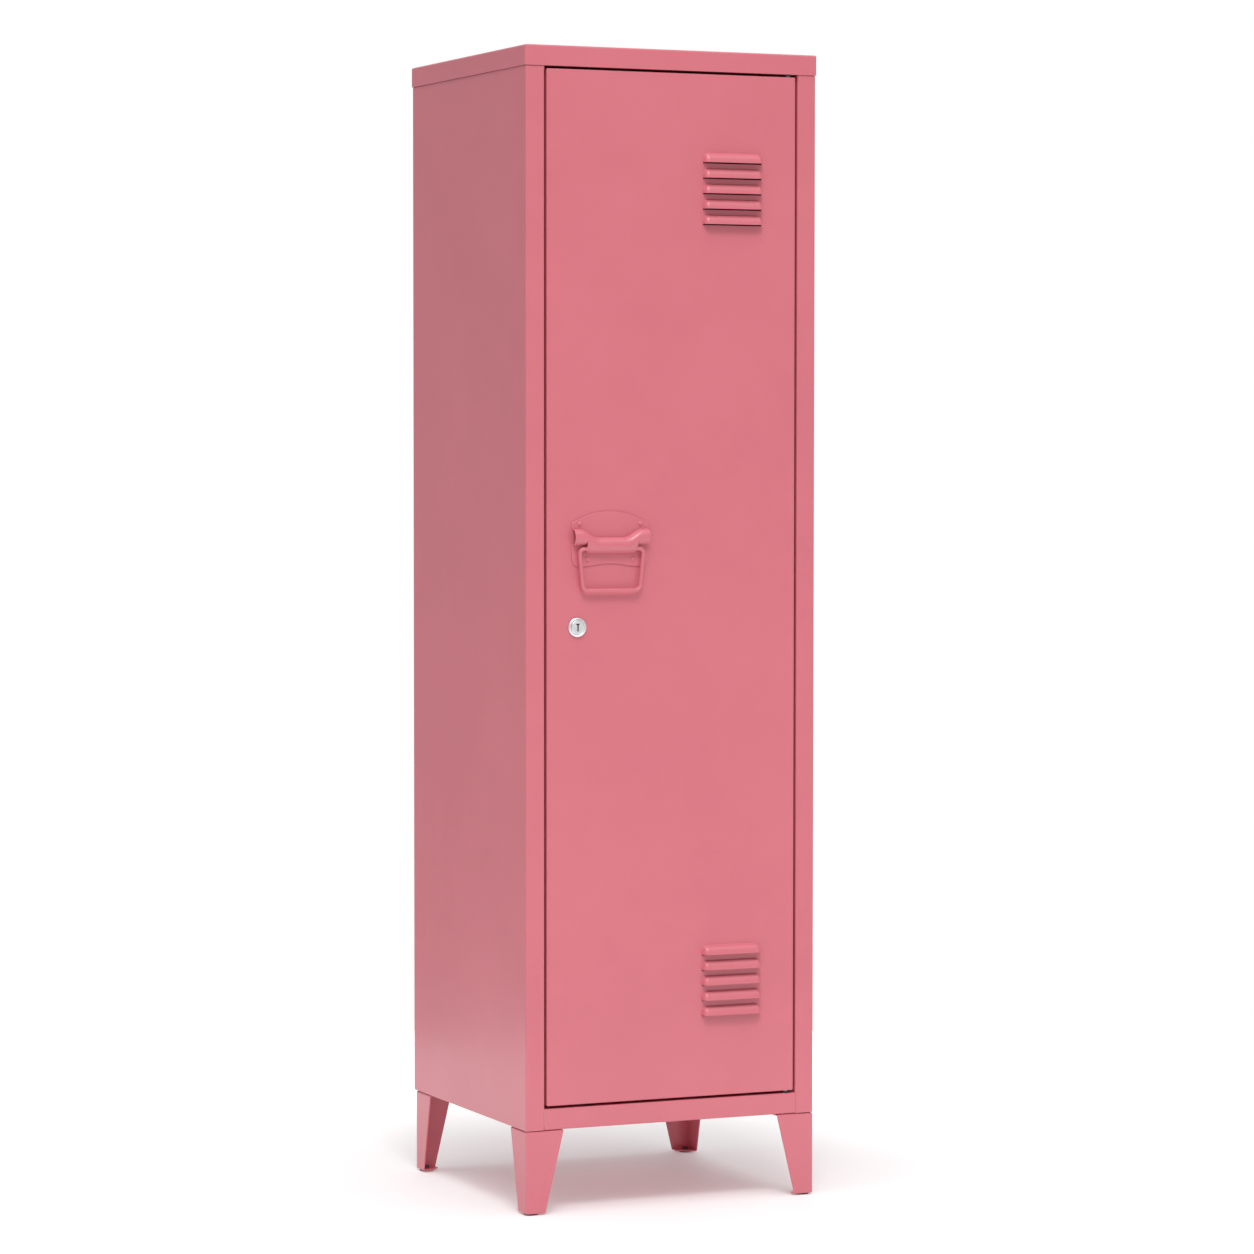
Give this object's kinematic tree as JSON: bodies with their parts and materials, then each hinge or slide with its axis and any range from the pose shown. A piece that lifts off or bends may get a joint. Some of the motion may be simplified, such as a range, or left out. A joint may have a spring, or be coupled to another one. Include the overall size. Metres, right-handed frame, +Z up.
{
  "type": "locker cabinet",
  "caption": "Tall narrow steel locker cabinet on tapered legs, with a louvred hinged door, a drop-bail pull, a cam lock, inner shelves and a coat rail.",
  "frame": {"origin": "centre of the bounding box's base: on the floor, midway between the sides and between the pull's bridge and the cap's rear edge", "axes": "+X to the right along the front, +Y to the back, +Z up; the door faces -Y"},
  "size_m": [0.3772, 0.378, 1.37],
  "materials": {
    "pink_powder_coat": "satin powder coat",
    "bright_chrome": "polished plate",
    "zinc_plate": "clear zinc plate",
    "black_nylon": "moulded",
    "grey_rubber": "matt"
  },
  "bodies": {
    "carcass": {"back_panel": "pink_powder_coat", "base_angle_left": "pink_powder_coat", "base_angle_right": "pink_powder_coat", "base_pan": "pink_powder_coat", "coat_rail": "bright_chrome", "coat_rail_socket_left": "bright_chrome", "coat_rail_socket_right": "bright_chrome", "door_bumper_lower": "grey_rubber", "door_bumper_upper": "grey_rubber", "door_stop": "pink_powder_coat", "foot_glide_front_left": "black_nylon", "foot_glide_front_right": "black_nylon", "foot_glide_rear_left": "black_nylon", "foot_glide_rear_right": "black_nylon", "hat_shelf": "pink_powder_coat", "hat_shelf_rest_left": "pink_powder_coat", "hat_shelf_rest_right": "pink_powder_coat", "header_rail": "pink_powder_coat", "hinge_bush_bottom": "black_nylon", "hinge_bush_top": "black_nylon", "left_rear_strip": "pink_powder_coat", "left_side_panel": "pink_powder_coat", "left_stile": "pink_powder_coat", "leg_front_left": "pink_powder_coat", "leg_front_right": "pink_powder_coat", "leg_rear_left": "pink_powder_coat", "leg_rear_right": "pink_powder_coat", "leg_screw_front_left_1": "zinc_plate", "leg_screw_front_left_2": "zinc_plate", "leg_screw_front_right_1": "zinc_plate", "leg_screw_front_right_2": "zinc_plate", "leg_screw_rear_left_1": "zinc_plate", "leg_screw_rear_left_2": "zinc_plate", "leg_screw_rear_right_1": "zinc_plate", "leg_screw_rear_right_2": "zinc_plate", "lower_shelf": "pink_powder_coat", "lower_shelf_rest_left": "pink_powder_coat", "lower_shelf_rest_right": "pink_powder_coat", "magnet_catch": "black_nylon", "right_rear_strip": "pink_powder_coat", "right_side_panel": "pink_powder_coat", "right_stile": "pink_powder_coat", "top_cap": "pink_powder_coat"},
    "door": {"door_panel": "pink_powder_coat", "door_stiffener": "pink_powder_coat", "hinge_pin_top": "zinc_plate", "hinge_pin_bottom": "zinc_plate", "handle_plate": "pink_powder_coat", "handle_bridge": "pink_powder_coat", "lock_barrel": "bright_chrome", "lock_nut": "zinc_plate", "handle_rivet_lower_left": "pink_powder_coat", "handle_rivet_lower_right": "pink_powder_coat", "handle_rivet_upper_left": "pink_powder_coat", "handle_rivet_upper_right": "pink_powder_coat"},
    "bail": {"handle_bail": "pink_powder_coat"},
    "lock": {"lock_plug": "bright_chrome", "lock_cam": "zinc_plate", "cam_screw": "zinc_plate"}
  },
  "joints": [
    {"name": "door_hinge", "type": "hinge", "parent": "carcass", "child": "door", "pos_m": [0.153, -0.17115, 0.1282], "axis": [0, 0, 1], "range_deg": [0, 110]},
    {"name": "bail_swing", "type": "hinge", "parent": "door", "child": "bail", "pos_m": [-0.081, -0.18365, 0.7835], "axis": [-1, 0, 0], "range_deg": [0, 90]},
    {"name": "lock_turn", "type": "hinge", "parent": "door", "child": "lock", "pos_m": [-0.1227, -0.17715, 0.6915], "axis": [0, 1, 0], "range_deg": [0, 90]}
  ]
}
